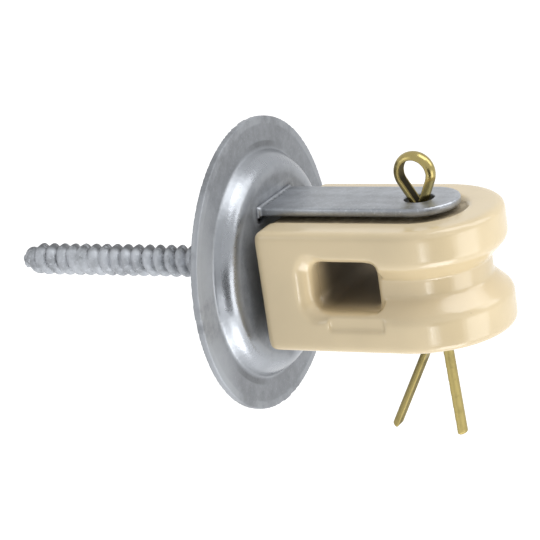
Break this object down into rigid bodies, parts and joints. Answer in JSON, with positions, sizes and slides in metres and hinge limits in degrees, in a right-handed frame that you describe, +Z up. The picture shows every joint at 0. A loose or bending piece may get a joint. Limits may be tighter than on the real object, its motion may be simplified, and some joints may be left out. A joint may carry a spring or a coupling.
{
  "type": "spool insulator wireholder",
  "caption": "Screw-in service wireholder: a grooved porcelain spool insulator held by a brass cotter pin in a galvanised clevis on a round domed wall plate with a lag screw.",
  "frame": {"origin": "where the screw's axis meets the wall, on the plane of the wall plate's rear rim", "axes": "+X out of the wall along the screw's axis to the insulator's nose, +Z up along the cotter pin to its eye, +Y to the side"},
  "size_m": [0.1583, 0.0856, 0.094],
  "materials": {
    "zinc_steel": "hot-dip galvanised, dull grey",
    "porcelain": "cream gloss glaze",
    "brass": "satin, slightly tarnished"
  },
  "bodies": {
    "root": {"wall_plate": "zinc_steel", "clevis_strap": "zinc_steel", "lag_screw": "zinc_steel", "insulator": "porcelain", "cotter_pin": "brass"}
  },
  "joints": []
}
